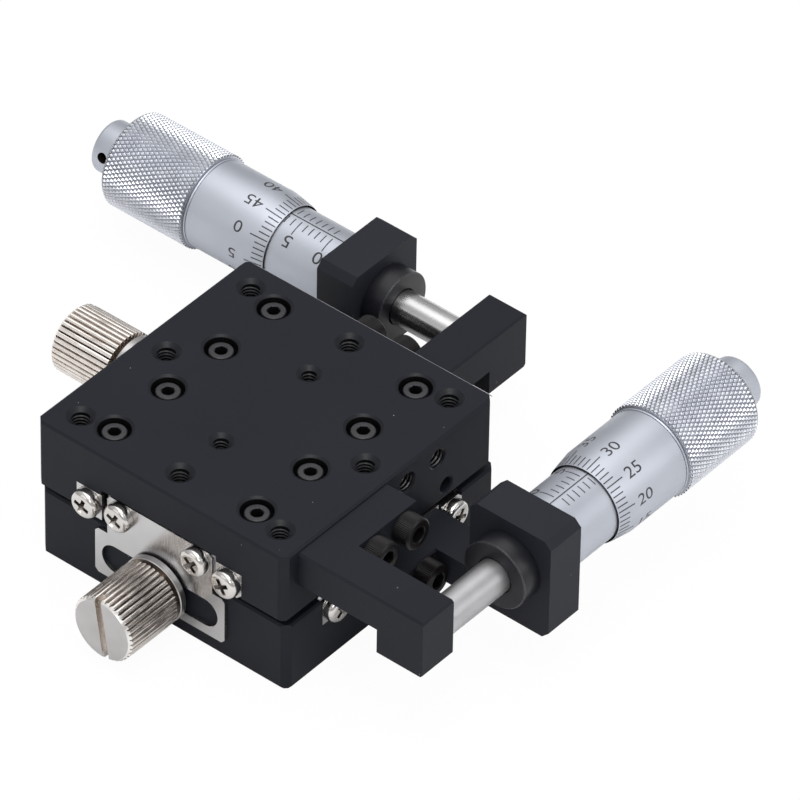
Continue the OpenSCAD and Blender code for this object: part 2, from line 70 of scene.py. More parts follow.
view = {
    "place": (0.612412, -0.726305, 0.850212),
    "turnDegrees": (48.946, -0.8007, 39.8663),
    "lens": 462.98,
    "sensor": 36.0,
    "clip": (0.05, 20.0),
}


def setCamera():
    lens = bpy.data.cameras.new("viewCamera")
    lens.lens = view["lens"]
    lens.sensor_width = view["sensor"]
    lens.clip_start, lens.clip_end = view["clip"]
    camera = bpy.data.objects.new("viewCamera", lens)
    camera.location = view["place"]
    camera.rotation_euler = Euler([math.radians(a) for a in view["turnDegrees"]])
    scene.collection.objects.link(camera)
    scene.camera = camera
    scene.view_settings.view_transform = "Standard"


setCamera()
print("camera set")


# Shader wiring

class Wire:
    # an output socket that can be added to and multiplied
    def __init__(self, graph, socket):
        self.graph, self.socket = graph, socket

    def math(self, operation, other):
        return self.graph.add("ShaderNodeMath", {"operation": operation}, {0: self, 1: other})

    def __add__(self, other):
        return self.math("ADD", other)

    def __mul__(self, other):
        return self.math("MULTIPLY", other)


class Graph:
    def __init__(self, tree):
        self.tree = tree
        tree.nodes.clear()

    def add(self, kind, settings=None, inputs=None, out=0):
        node = self.tree.nodes.new(kind)
        for key, value in (settings or {}).items():
            if key == "stops":  # a ramp's stops: position and grey or colour
                ramp = node.color_ramp
                while len(ramp.elements) < len(value):
                    ramp.elements.new(0.5)
                for element, (place, colour) in zip(ramp.elements, value):
                    element.position = place
                    element.color = colour if isinstance(colour, tuple) else (colour, colour, colour, 1)
            else:
                setattr(node, key, value)
        for key, value in (inputs or {}).items():
            socket = node.inputs[key]
            if isinstance(value, Wire):
                self.tree.links.new(value.socket, socket)
            else:
                socket.default_value = value
        return Wire(self, node.outputs[out]) if node.outputs else None

    def blend(self, mask, low, high):
        # colour mix through a Mix node
        return self.add("ShaderNodeMix", {"data_type": "RGBA"}, {0: mask, 6: low, 7: high}, out=2)


def colour(r, g, b):
    return (r, g, b, 1.0)


texture = {
    "patchDetail": 3.0, "patchEdges": (0.3, 0.7), "grainDetail": 2.0, "grainRough": 0.6, "fleck": 0.25,
    "speckScale": 320, "speckEdges": (0.014, 0.022), "bumpDepth": 0.01, "specular": 0.5,
}


def scaledPlace(graph, scale):
    place = graph.add("ShaderNodeTexCoord", out="Object")
    return graph.add("ShaderNodeMapping", None, {"Vector": place, "Scale": scale})


def noise(graph, scale, detail, rough=0.5, stretch=(1, 1, 1)):
    return graph.add("ShaderNodeTexNoise", None, {
        "Vector": scaledPlace(graph, stretch), "Scale": scale, "Detail": detail, "Roughness": rough})


def finish(name, look):
    # one finish from a dictionary: colours, metal, roughness, grain, bump
    t = texture
    material = bpy.data.materials.new(name)
    material.use_nodes = True
    graph = Graph(material.node_tree)
    broad = noise(graph, look["patch"], t["patchDetail"])
    fine = noise(graph, look["grain"], t["grainDetail"], t["grainRough"], look.get("stretch", (1, 1, 1)))
    low, high = t["patchEdges"]
    mask = graph.add("ShaderNodeValToRGB", {"stops": [(low, 0.0), (high, 1.0)]}, {0: broad})
    tint = graph.blend(mask, look["low"], look["high"])
    tint = graph.blend(fine * look.get("fleck", t["fleck"]), tint, look.get("fleckColour", look["high"]))
    if "specks" in look:
        inner, outer = t["speckEdges"]
        cells = graph.add("ShaderNodeTexVoronoi", None,
                          {"Vector": scaledPlace(graph, (1, 1, 1)), "Scale": t["speckScale"]})
        speck = graph.add("ShaderNodeValToRGB", {"stops": [(inner, 1.0), (outer, 0.0)]}, {0: cells})
        tint = graph.blend(speck, tint, look["specks"])
    rough = fine * look["roughSpread"] + (broad * look["roughSpread"]
                                          + (look["rough"] - look["roughSpread"]))
    bump = graph.add("ShaderNodeBump", None, {"Height": fine, "Strength": look["bump"],
                                              "Distance": look.get("bumpDepth", t["bumpDepth"]) * mm})
    surface = graph.add("ShaderNodeBsdfPrincipled", None, {
        "Base Color": tint, "Roughness": rough, "Metallic": look.get("metal", 0.0),
        "Specular IOR Level": look.get("specular", t["specular"]), "Normal": bump})
    graph.add("ShaderNodeOutputMaterial", None, {"Surface": surface})
    return material


looks = {
    "blackAnodised": {
        "low": colour(0.0064, 0.0075, 0.0117), "high": colour(0.0085, 0.0097, 0.0144),
        "fleckColour": colour(0.022, 0.022, 0.026), "fleck": 0.3, "patch": 60, "grain": 9000,
        "rough": 0.55, "roughSpread": 0.06, "bump": 0.25, "bumpDepth": 0.012, "specular": 0.13,
        "specks": colour(0.35, 0.35, 0.37)},
    "blackHolder": {
        "low": colour(0.0090, 0.0101, 0.0150), "high": colour(0.0114, 0.0126, 0.0182),
        "fleckColour": colour(0.028, 0.028, 0.032), "fleck": 0.3, "patch": 60, "grain": 9000,
        "rough": 0.55, "roughSpread": 0.06, "bump": 0.25, "bumpDepth": 0.012, "specular": 0.145,
        "specks": colour(0.35, 0.35, 0.37)},
    # partly wear, partly painted highlight: lighter rings and strips along edges
    "wearAndHighlightEdge": {
        "low": colour(0.11, 0.115, 0.13), "high": colour(0.30, 0.305, 0.33), "metal": 0.6, "patch": 300,
        "grain": 5000, "rough": 0.35, "roughSpread": 0.1, "bump": 0.2},
    "blackCollar": {
        "low": colour(0.0052, 0.0056, 0.0078), "high": colour(0.0088, 0.0092, 0.0124), "patch": 120,
        "grain": 400, "stretch": (12, 12, 1), "rough": 0.36, "roughSpread": 0.06, "bump": 0.12,
        "specular": 0.3},
    "groundSteel": {
        "low": colour(0.42, 0.42, 0.43), "high": colour(0.54, 0.54, 0.55), "metal": 1.0, "patch": 90,
        "grain": 600, "stretch": (1, 1, 14), "rough": 0.3, "roughSpread": 0.08, "bump": 0.2},
    "socketSteel": {
        "low": colour(0.0095, 0.0095, 0.0115), "high": colour(0.020, 0.020, 0.023), "metal": 0.3,
        "patch": 500, "grain": 5000, "fleck": 0.6, "fleckColour": colour(0.07, 0.07, 0.075),
        "rough": 0.38, "roughSpread": 0.1, "bump": 0.4, "specular": 0.35},
    "blackSteel": {
        "low": colour(0.0032, 0.0024, 0.0027), "high": colour(0.0072, 0.0056, 0.0062), "metal": 0.0,
        "patch": 500, "grain": 5000, "rough": 0.34, "roughSpread": 0.1, "bump": 0.4, "specular": 0.22},
    "knurlSatin": {
        "low": colour(0.51, 0.525, 0.57), "high": colour(0.61, 0.625, 0.67), "metal": 1.0, "patch": 400,
        "grain": 4000, "rough": 0.32, "roughSpread": 0.06, "bump": 0.12},
    # painted shade in the knurl's valleys
    "knurlPitShade": {
        "low": colour(0.15, 0.157, 0.185), "high": colour(0.23, 0.24, 0.27), "metal": 0.9, "patch": 400,
        "grain": 4000, "rough": 0.4, "roughSpread": 0.06, "bump": 0.1},
    # darker than the black anodising: painted shade on the holes' mouths, with a sheen from its specular
    "mouthShadeSheen": {
        "low": colour(0.0042, 0.0048, 0.007), "high": colour(0.0064, 0.0072, 0.0102), "patch": 200,
        "grain": 5000, "rough": 0.4, "roughSpread": 0.06, "bump": 0.15, "specular": 0.2},
    # painted shade, brown, in the end cap's cross hole and the knob's neck
    "paintedShadeBrown": {
        "low": colour(0.02, 0.013, 0.010), "high": colour(0.10, 0.075, 0.062), "metal": 0.8, "patch": 900,
        "grain": 4000, "rough": 0.3, "roughSpread": 0.1, "bump": 0.3},
    # painted shade in the pan screws' cross recesses, patched with lighter steel
    "paintedShadeSteel": {
        "low": colour(0.05, 0.04, 0.034), "high": colour(0.5, 0.47, 0.44), "metal": 1.0, "patch": 1400,
        "grain": 4000, "rough": 0.3, "roughSpread": 0.06, "bump": 0.2},
    # painted shade, black, in holes, hex sockets and the thimble's mouth
    "paintedShadeBlack": {
        "low": colour(0.0015, 0.0015, 0.0018), "high": colour(0.004, 0.004, 0.0045), "patch": 900,
        "grain": 4000, "rough": 0.6, "roughSpread": 0.1, "bump": 0.1, "specular": 0.1},
    # lighter than the block's black: painted highlight on the threads
    "threadHighlightBlack": {
        "low": colour(0.018, 0.0185, 0.0215), "high": colour(0.032, 0.033, 0.037), "patch": 300,
        "grain": 4000, "rough": 0.34, "roughSpread": 0.05, "bump": 0.1, "specular": 0.9},
    "nickel": {
        "low": colour(0.53, 0.51, 0.49), "high": colour(0.62, 0.60, 0.58), "metal": 1.0, "patch": 300,
        "grain": 3500, "rough": 0.2, "roughSpread": 0.08, "bump": 0.3},
    "knobNickel": {
        "low": colour(0.62, 0.565, 0.525), "high": colour(0.74, 0.70, 0.665), "metal": 1.0, "patch": 900,
        "grain": 3400, "rough": 0.25, "roughSpread": 0.08, "bump": 0.35, "bumpDepth": 0.012},
    # darker copy of the knob's nickel for its flat faces: painted shade
    "knobFaceShade": {
        "low": colour(0.38, 0.37, 0.365), "high": colour(0.46, 0.45, 0.45), "metal": 1.0, "patch": 260,
        "grain": 5000, "rough": 0.3, "roughSpread": 0.06, "bump": 0.15, "bumpDepth": 0.008},
    # lighter copy for the knob's top bevel: partly wear, partly painted highlight
    "knobEdgeWearAndHighlight": {
        "low": colour(0.66, 0.64, 0.62), "high": colour(0.78, 0.76, 0.74), "metal": 1.0, "patch": 500,
        "grain": 3000, "rough": 0.3, "roughSpread": 0.08, "bump": 0.2},
    "plateSteel": {
        "low": colour(0.44, 0.43, 0.425), "high": colour(0.56, 0.555, 0.56), "metal": 1.0, "patch": 110,
        "grain": 2600, "stretch": (1, 1, 0.06), "rough": 0.26, "roughSpread": 0.07, "bump": 0.35,
        "bumpDepth": 0.008},
    "spindleSteel": {
        "low": colour(0.36, 0.355, 0.365), "high": colour(0.45, 0.445, 0.455), "metal": 1.0, "patch": 200,
        "grain": 500, "rough": 0.43, "roughSpread": 0.08, "bump": 0.4, "bumpDepth": 0.012},
    "cageBrass": {
        "low": colour(0.42, 0.29, 0.12), "high": colour(0.5, 0.36, 0.16), "metal": 1.0, "patch": 300,
        "grain": 2500, "rough": 0.3, "roughSpread": 0.08, "bump": 0.2},
    "rollerSteel": {
        "low": colour(0.58, 0.58, 0.58), "high": colour(0.68, 0.68, 0.68), "metal": 1.0, "patch": 300,
        "grain": 2500, "rough": 0.15, "roughSpread": 0.05, "bump": 0.1},
    "markInk": {
        "low": colour(0.010, 0.010, 0.013), "high": colour(0.03, 0.03, 0.035), "patch": 900,
        "grain": 6000, "rough": 0.5, "roughSpread": 0.08, "bump": 0.2},
}
satin = {
    "low": colour(0.42, 0.44, 0.49), "high": colour(0.46, 0.48, 0.53), "metal": 1.0, "patch": 120,
    "grain": 260, "rough": 0.49, "roughSpread": 0.05, "bump": 0.2, "bumpDepth": 0.008}
turnedX = {"stretch": (30, 1, 1)}
turnedY = {"stretch": (1, 30, 1)}
looks["satinX"] = {**satin, **turnedX}
looks["satinY"] = {**satin, **turnedY}
# the X spindle is a lighter copy of the same spindle steel: painted light
looks["spindleXLit"] = {**looks["spindleSteel"], **turnedX, "rough": 0.25, "bump": 0.7,
                     "low": colour(0.42, 0.415, 0.42), "high": colour(0.56, 0.555, 0.56)}
looks["spindleY"] = {**looks["spindleSteel"], **turnedY}
finishes = {name: finish(name, look) for name, look in looks.items()}
print("finishes made:", len(finishes))


# CAD nodes keep their shape and get these finishes

nodeFinish = {
    "blackAnodised": ["base_block", "table_block", "x_arm", "y_arm"],
    "blackHolder": ["x_holder", "y_holder"],
    "groundSteel": ["middle_block", "base_rails", "table_rails", "x_inner_rails", "y_inner_rails",
                    "base_set_screws", "table_set_screws", "inner_rail_screws"],
    "plateSteel": ["x_lock_plate", "y_lock_plate", "base_stoppers", "table_stoppers"],
    "satinX": ["x_sleeve"],
    "satinY": ["y_sleeve"],
    "spindleXLit": ["x_spindle"],
    "spindleY": ["y_spindle"],
    "cageBrass": ["x_cages", "y_cages"],
    "rollerSteel": ["x_rollers", "y_rollers"],
}
for finishName, names in nodeFinish.items():
    for name in names:
        mesh = nodes[name].data
        mesh.materials.clear()
        mesh.materials.append(finishes[finishName])
print("CAD nodes finished")


# Modelling helpers

weld = 0.0005  # mm within which points are merged
level = 0.01  # mm within which heights count as the same
alike = 0.001  # difference of two directions that count as the same
pole = 0.05  # mm from the axis to the middle of a turned piece's ends
smoothAngle = 32


def deselect():
    if bpy.context.mode != "OBJECT":
        bpy.ops.object.mode_set(mode="OBJECT")
    bpy.ops.object.select_all(action="DESELECT")


def activate(piece):
    deselect()
    piece.select_set(True)
    bpy.context.view_layer.objects.active = piece


def openMesh(piece):
    activate(piece)
    bpy.ops.object.mode_set(mode="EDIT")
    bpy.ops.mesh.select_mode(type="VERT")
    bpy.ops.mesh.select_all(action="SELECT")


def closeMesh():
    bpy.ops.object.mode_set(mode="OBJECT")


def pick(piece, kind, test):
    # in edit mode, selects the vertices, edges or faces that pass
    bpy.ops.mesh.select_mode(type=kind)
    bpy.ops.mesh.select_all(action="DESELECT")
    shape = bmesh.from_edit_mesh(piece.data)
    for element in {"VERT": shape.verts, "EDGE": shape.edges, "FACE": shape.faces}[kind]:
        element.select = bool(test(element))
    bmesh.update_edit_mesh(piece.data)


def surfaces(piece, *names):
    for name in names:
        piece.data.materials.append(finishes[name])


def assign(piece, slot, test):
    # gives the faces that pass another material slot
    openMesh(piece)
    pick(piece, "FACE", test)
    piece.active_material_index = slot
    bpy.ops.object.material_slot_assign()
    closeMesh()


def faceSpot(face):
    # distance from local Z, and height, of a face's middle in mm
    place = face.calc_center_median() / mm
    return place.xy.length, place.z


def tidyMesh(piece, angle=smoothAngle):
    openMesh(piece)
    bpy.ops.mesh.remove_doubles(threshold=weld * mm)
    bpy.ops.mesh.normals_make_consistent(inside=False)
    closeMesh()
    activate(piece)
    bpy.ops.object.shade_smooth_by_angle(angle=math.radians(angle))


def turned(name, profile, steps=96, close=True):
    # lathe about local Z: a circle drawn out ring by ring; profile in mm as (z, radius)
    deselect()
    z0, r0 = profile[0]
    bpy.ops.mesh.primitive_circle_add(vertices=steps, radius=r0 * mm, location=(0, 0, z0 * mm))
    piece = bpy.context.object
    piece.name = name
    bpy.ops.object.transform_apply(location=True, rotation=True, scale=True)
    openMesh(piece)
    for (za, ra), (zb, rb) in zip(profile, profile[1:]):
        bpy.ops.mesh.extrude_region_move(TRANSFORM_OT_translate={"value": (0, 0, (zb - za) * mm)})
        bpy.ops.transform.resize(value=(rb / ra, rb / ra, 1), center_override=(0, 0, zb * mm))
    if close:
        bpy.ops.mesh.select_all(action="SELECT")
        bpy.ops.mesh.remove_doubles(threshold=weld * mm)
        bpy.ops.mesh.fill_holes(sides=0)
    closeMesh()
    if close:
        tidyMesh(piece)
    return piece


def rounded(z, radius, r, steps=4):
    # profile points of a rounded upper edge that ends at height z
    angles = [math.pi / 2 * i / steps for i in range(steps + 1)]
    return [(z - r + r * math.sin(a), radius - r + r * math.cos(a)) for a in angles]


def fluted(piece, count, low, high, valley, shoulder, wear=0.0, lines=4):
    # draws lines of vertices in between two heights, a few lines to a ridge, and roughens them by the wear
    step = math.tau / count / lines
    openMesh(piece)
    for phase, share in ((0, valley), (1, shoulder), (lines - 1, shoulder)):
        pick(piece, "VERT", lambda vertex: low < vertex.co.z / mm < high
             and round(math.atan2(vertex.co.y, vertex.co.x) / step) % lines == phase)
        bpy.ops.transform.resize(value=(share, share, 1), center_override=(0, 0, 0))
    if wear:
        pick(piece, "VERT", lambda vertex: low < vertex.co.z / mm < high)
        bpy.ops.transform.vertex_random(offset=wear * mm, uniform=1.0, seed=4)
    closeMesh()


def modify(piece, kind, **settings):
    # adds one modifier and applies it
    activate(piece)
    modifier = piece.modifiers.new(kind, kind)
    for key, value in settings.items():
        setattr(modifier, key, value)
    bpy.ops.object.modifier_apply(modifier=modifier.name)


def cut(piece, tool):
    modify(piece, "BOOLEAN", operation="DIFFERENCE", object=tool, solver="EXACT")
    bpy.data.objects.remove(tool)


def block(size, place, turn=0.0, narrow=1.0):
    # a cutting box in mm, drawn in at its lower end and turned about local Z
    deselect()
    bpy.ops.mesh.primitive_cube_add(size=1)
    tool = bpy.context.object
    openMesh(tool)
    pick(tool, "VERT", lambda vertex: vertex.co.z < 0)
    bpy.ops.transform.resize(value=(narrow, narrow, 1), center_override=(0, 0, 0))
    closeMesh()
    tool.data.transform(Matrix.Rotation(turn, 4, "Z") @ Matrix.Translation(Vector(place) * mm)
                        @ Matrix.Diagonal((*[s * mm for s in size], 1)))
    return tool


def prism(sides, radius, bottom, top, upper=None):
    # a prism or cone about local Z, in mm
    deselect()
    bpy.ops.mesh.primitive_cone_add(vertices=sides, radius1=radius * mm, depth=(top - bottom) * mm,
                                    radius2=(radius if upper is None else upper) * mm,
                                    location=(0, 0, (top + bottom) / 2 * mm))
    bpy.ops.object.transform_apply(location=True, rotation=True, scale=True)
    return bpy.context.object


def join(name, pieces):
    deselect()
    for piece in pieces:
        piece.select_set(True)
    bpy.context.view_layer.objects.active = pieces[0]
    bpy.ops.object.join()
    pieces[0].name = pieces[0].data.name = name
    return pieces[0]


def copied(master, matrix):
    piece = master.copy()
    piece.data = master.data.copy()
    scene.collection.objects.link(piece)
    piece.data.transform(matrix)
    return piece


def spread(name, master, matrices):
    # the master's copies, one at each matrix, joined as one piece
    return join(name, [copied(master, matrix) for matrix in matrices])


def settle(piece, look, node, stands=True):
    # the piece takes the body of the CAD node that it stands for or sits on, and the given finish; a node it
    # stands for is hidden
    if look:
        piece.data.materials.clear()
        piece.data.materials.append(finishes[look])
    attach(piece, nodes[node]["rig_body"])
    if stands:
        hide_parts(node)


def pointing(place, along, up=(0, 0, 1)):
    # matrix that stands a piece drawn along local Z at a place in mm, with local X near up
    z = Vector(along).normalized()
    x = Vector((1, 0, 0) if abs(z.dot(Vector(up))) > 0.99 else up)
    x = (x - z * x.dot(z)).normalized()
    y = z.cross(x)
    matrix = Matrix((x, y, z)).transposed().to_4x4()
    matrix.translation = Vector(place) * mm
    return matrix


def inMm(node):
    lo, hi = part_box(node)
    return lo / mm, hi / mm


# Micrometer heads

head = {
    "mouthRadius": 5.6, "boreRadius": 5.35, "barrelRadius": 6.15, "bevel": 3.2, "smooth": 12.9,
    "lip": 0.04, "lipLength": 0.03, "flare": 0.8, "wall": 2.0, "endBore": 1.79,
    "grooves": [  # distance from the knurl, height over the barrel
        (-0.5, 0), (-0.47, -0.08), (-0.42, -0.08), (-0.4, 0.05), (-0.24, 0.13), (-0.12, 0.08),
        (-0.1, -0.02), (-0.07, -0.02)],
    "tuck": 0.02, "tuckLength": 0.3,
    "endSteps": [(-0.8, 0), (-0.05, -0.45), (0, -0.6)],  # distance from the end, height over the barrel
    "knurlLength": 13.5, "knurlRadius": 6.65, "knurlDepth": 0.2, "knurlAround": 66, "knurlAlong": 12,
    "knurlPitShade": 0.045, "knurlLand": 0.18, "knurlBed": 0.4, "knurlWall": 0.1, "knurlSmooth": 8,
    "knurlEnd": 0.9, "endRound": 0.45, "endLift": 0.05, "endLeast": 0.04,
    "capRadius": 3.65, "capLength": 4.2, "capRound": 0.5, "capBore": 2.62, "capGap": 0.02,
    "dish": 1.3, "dishFloor": 1.1, "dishDepth": 0.12, "capHoleSides": 32,
    "capHole": 0.75, "capHolePlace": 2.3, "capHoleTurn": -75, "capHoleFloor": 1.2,
    "pitFrom": 0.5, "pitShort": 0.05, "pitOver": 0.02,
}
nut = {
    "radius": 4.75, "length": 2.9, "bevel": 0.1, "bevelSteps": 3, "hole": 2.5, "holeEdge": 0.1,
    "wall": 0.8, "bore": 3.6, "edge": 0.008, "edgeRoot": 3,
}
scale = {
    "divisions": 50, "longEvery": 5, "shortLine": 1.6, "longLine": 2.55, "lineStart": 0.15,
    "lineWidth": 0.16, "numberMiddle": 4.68, "numberHeight": 1.62, "proud": 0.008, "sunk": 0.03,
    "zeroMark": 2.4, "travel": 13, "halfMark": 0.5, "markGap": 0.42, "shortMark": 1.3, "longMark": 2.3,
    "markWidth": 0.15, "markCuts": 9, "indexOver": 0.6, "indexShare": 1.15,
    "sleeveNumber": 1.72, "numberGap": 0.2, "sleeveRadius": 5.3,
    "figureShare": 0.73, "widen": 1.25, "figureCurve": 4, "figureCuts": 8, "figureWeld": 0.001,
}
heads = {
    "x": {"out": (-1, 0, 0), "lean": 0, "division": 42.6, "satin": "satinX"},
    "y": {"out": (0, 1, 0), "lean": 5.1, "division": 29.5, "satin": "satinY"},
}


def headMatrix(axis):
    # the head's own frame and its origin in mm: where the sleeve leaves its holder, local X at the index line
    out = Vector(heads[axis]["out"])
    sleeveLo, sleeveHi = inMm(axis + "_sleeve")
    holderLo, holderHi = inMm(axis + "_holder")
    middle = (sleeveLo + sleeveHi) / 2
    if axis == "x":
        middle.x = holderLo.x
    else:
        middle.y = holderHi.y
    lean = math.radians(heads[axis]["lean"])
    return pointing(middle, out, (math.sin(lean), 0, math.cos(lean))), middle


def mouthDistance(axis):
    middle = headMatrix(axis)[1]
    lo, hi = inMm(axis + "_thimble")
    return middle.x - hi.x if axis == "x" else lo.y - middle.y


def makeKnurl():
    h = head
    start, length = h["smooth"], h["knurlLength"]
    base = h["knurlRadius"] - h["knurlDepth"]
    rows = [(start + length * i / h["knurlAlong"], base) for i in range(h["knurlAlong"] + 1)]
    grip = turned("knurl", rows, h["knurlAround"], close=False)
    surfaces(grip, "knurlSatin", "knurlPitShade")
    openMesh(grip)
    bpy.ops.mesh.poke()

    def straight(edge):
        # runs round or along, and is not on an end ring
        a, b = (vertex.co for vertex in edge.verts)
        along = (a.xy.normalized() - b.xy.normalized()).length < alike
        return len(edge.link_faces) == 2 and (along or abs(a.z - b.z) < level * mm)

    pick(grip, "EDGE", straight)
    bpy.ops.mesh.dissolve_edges(use_verts=False)
    bpy.ops.mesh.select_all(action="SELECT")
    bpy.ops.mesh.normals_make_consistent(inside=False)
    pick(grip, "FACE", lambda face: face.calc_center_median().xy.dot(face.normal.xy) < 0)
    bpy.ops.mesh.flip_normals()
    bpy.ops.mesh.select_all(action="SELECT")
    # the band round each diamond takes the second slot: painted shade in the knurl's valleys
    bpy.ops.mesh.inset(thickness=h["knurlPitShade"] * mm, depth=0, use_individual=True, use_even_offset=True)
    bpy.ops.mesh.select_all(action="INVERT")
    grip.active_material_index = 1
    bpy.ops.object.material_slot_assign()
    bpy.ops.mesh.select_all(action="INVERT")
    bpy.ops.mesh.inset(thickness=h["knurlLand"] * mm, depth=h["knurlDepth"] * mm,
                       use_individual=True, use_even_offset=True)
    # inner wall, so that the grip is a closed ring
    pick(grip, "EDGE", lambda edge: len(edge.link_faces) == 1)
    bpy.ops.mesh.extrude_region_move(TRANSFORM_OT_translate={"value": (0, 0, 0)})
    inner = h["barrelRadius"] - h["knurlBed"]
    bpy.ops.transform.resize(value=(inner / base, inner / base, 1), center_override=(0, 0, 0))
    bpy.ops.mesh.bridge_edge_loops()
    closeMesh()
    for vertex in grip.data.vertices:
        # rounds the far end over
        over = vertex.co.z / mm - start - length + h["endRound"]
        radius = vertex.co.xy.length / mm
        if over > 0 and radius > inner + h["knurlWall"]:
            fall = 1 - math.sqrt(max(1 - (over / h["endRound"]) ** 2, h["endLeast"]))
            most = base + h["endLift"] - h["endRound"] * fall
            vertex.co.xy *= min(most / radius, 1)
    tidyMesh(grip, h["knurlSmooth"])
    assign(grip, 0, lambda face: abs(face.normal.z) > h["knurlEnd"])
    return grip


def makeThimble():
    h = head
    smooth, barrel, bore = h["smooth"], h["barrelRadius"], h["boreRadius"]
    end = smooth + h["knurlLength"]
    lip = h["mouthRadius"] - h["lip"]
    seat = h["knurlRadius"] - h["knurlDepth"] - h["tuck"]
    profile = [(h["flare"], bore), (0, lip), (h["lipLength"], h["mouthRadius"]), (h["bevel"], barrel),
               *[(smooth + z, barrel + over) for z, over in h["grooves"]],
               (smooth + h["tuck"] / 2, seat), (smooth + h["tuckLength"], barrel),
               *[(end + z, barrel + over) for z, over in h["endSteps"]],
               (end, h["endBore"]), (end - h["wall"], h["endBore"]), (end - h["wall"], bore),
               (h["flare"], bore)]
    piece = turned("thimble", profile, 2 * h["knurlAround"])
    surfaces(piece, "satinX", "paintedShadeBlack")

    def inMouth(face):
        radius, height = faceSpot(face)
        return radius < lip and height < h["flare"]

    # the flared inside of the mouth takes black: painted shade in the gap round the sleeve
    assign(piece, 1, inMouth)
    return piece


def makeCap():
    h = head
    r, l, floor = h["capRadius"], h["capLength"], h["capLength"] - h["dishDepth"]
    cap = turned("cap", [(h["capGap"], h["capBore"]), (h["capGap"], r), *rounded(l, r, h["capRound"]),
                         (l, h["dish"]), (floor, h["dishFloor"]), (floor, h["capGap"])])
    hole = prism(h["capHoleSides"], h["capHole"], h["capHoleFloor"], 2 * r)
    turn = math.radians(h["capHoleTurn"])
    hole.data.transform(pointing((0, 0, h["capHolePlace"]), (math.cos(turn), math.sin(turn), 0)))
    cut(cap, hole)
    tidyMesh(cap)
    surfaces(cap, "satinX", "paintedShadeBrown")

    def inHole(face):
        radius, height = faceSpot(face)
        near = abs(height - h["capHolePlace"]) < h["capHole"] + h["pitOver"]
        return near and h["pitFrom"] < radius < r - h["pitShort"]

    # the cross hole's wall takes painted shade
    assign(cap, 1, inHole)
    return cap


def makeNut():
    # clamping nut in front of the holder, its face at z = 0 with a hole for the spindle
    n = nut
    r, l, b = n["radius"], n["length"], n["bore"]
    return turned("nut", [(-l, b), (-l, r - n["bevel"]), (n["bevel"] - l, r),
                          *rounded(0, r, n["bevel"], n["bevelSteps"]),
                          (0, n["hole"] + n["holeEdge"]), (-n["holeEdge"], n["hole"]),
                          (-n["wall"], n["hole"]), (-n["wall"], b), (-l, b)])


def makeNutEdge():
    # the front edge of the nut, a thin lighter ring over its bevel: partly wear, partly painted highlight
    r, b, thin = nut["radius"], nut["bevel"], nut["edge"]
    root = nut["edgeRoot"] * thin
    return turned("nutEdgeHighlight", [(-b, r - root), (-b, r + thin), (thin, r - b), (-root, r - b), (-b, r - root)])


thimbleMaster, knurlMaster = makeThimble(), makeKnurl()
capMaster, nutMaster, edgeHighlightMaster = makeCap(), makeNut(), makeNutEdge()
print("micrometer parts modelled")


# Engraved scales, drawn flat in mm and then laid round their cylinder

def flatMark(length, width, place, cuts=0):
    deselect()
    bpy.ops.mesh.primitive_plane_add(size=1)
    mark = bpy.context.object
    mark.data.transform(Matrix.Translation(Vector((*place, 0))) @ Matrix.Diagonal((length, width, 1, 1)))
    if cuts:
        openMesh(mark)
        bpy.ops.mesh.subdivide(number_cuts=cuts)
        closeMesh()
    return mark


def flatNumber(text, height, place, lift):
    # figures centred on a place, with their foot lifted from it
    s = scale
    deselect()
    bpy.ops.object.text_add()
    number = bpy.context.object
    number.data.body = text
    number.data.size = height / s["figureShare"]
    number.data.align_x = "CENTER"
    number.data.resolution_u = s["figureCurve"]
    bpy.ops.object.convert(target="MESH")
    number = bpy.context.object
    foot = place[1] + lift
    widened = Matrix.Diagonal((s["widen"], 1, 1, 1))
    number.data.transform(Matrix.Translation((place[0], foot, 0)) @ widened)
    openMesh(number)
    bpy.ops.mesh.remove_doubles(threshold=s["figureWeld"])
    for i in range(1, s["figureCuts"]):  # cut across, so that it follows the curve
        bpy.ops.mesh.select_all(action="SELECT")
        bpy.ops.mesh.bisect(plane_co=(0, foot + height * i / s["figureCuts"], 0), plane_no=(0, 1, 0))
    closeMesh()
    return number


def laidRound(name, marks, radiusAt, turnRadius):
    # x runs along the head, y round it: thickened, then wrapped
    piece = join(name, marks)
    openMesh(piece)
    bpy.ops.mesh.normals_make_consistent(inside=False)
    closeMesh()
    for face in piece.data.polygons:
        if face.normal.z < 0:
            face.flip()
    modify(piece, "SOLIDIFY", thickness=scale["sunk"] + scale["proud"], offset=-1)
    for vertex in piece.data.vertices:
        x, y, z = vertex.co
        r = (radiusAt(x) + scale["proud"] + z) * mm
        turn = y / turnRadius
        vertex.co = (r * math.cos(turn), -r * math.sin(turn), x * mm)
    return piece


def thimbleScale(axis):
    s, h = scale, head
    r = h["barrelRadius"]
    marks = []
    for k in range(s["divisions"]):
        y = 2 * math.pi * r * (k - heads[axis]["division"]) / s["divisions"]
        if y < -math.pi * r:
            y += 2 * math.pi * r
        long = k % s["longEvery"] == 0
        length = s["longLine"] if long else s["shortLine"]
        marks.append(flatMark(length, s["lineWidth"], (s["lineStart"] + length / 2, y)))
        if long:
            high = s["numberHeight"]
            marks.append(flatNumber(str(k), high, (s["numberMiddle"], y), -high / 2))

    def radiusAt(x):
        return h["mouthRadius"] + (r - h["mouthRadius"]) * min(1, x / h["bevel"])

    return laidRound(axis + "ThimbleScale", marks, radiusAt, r)


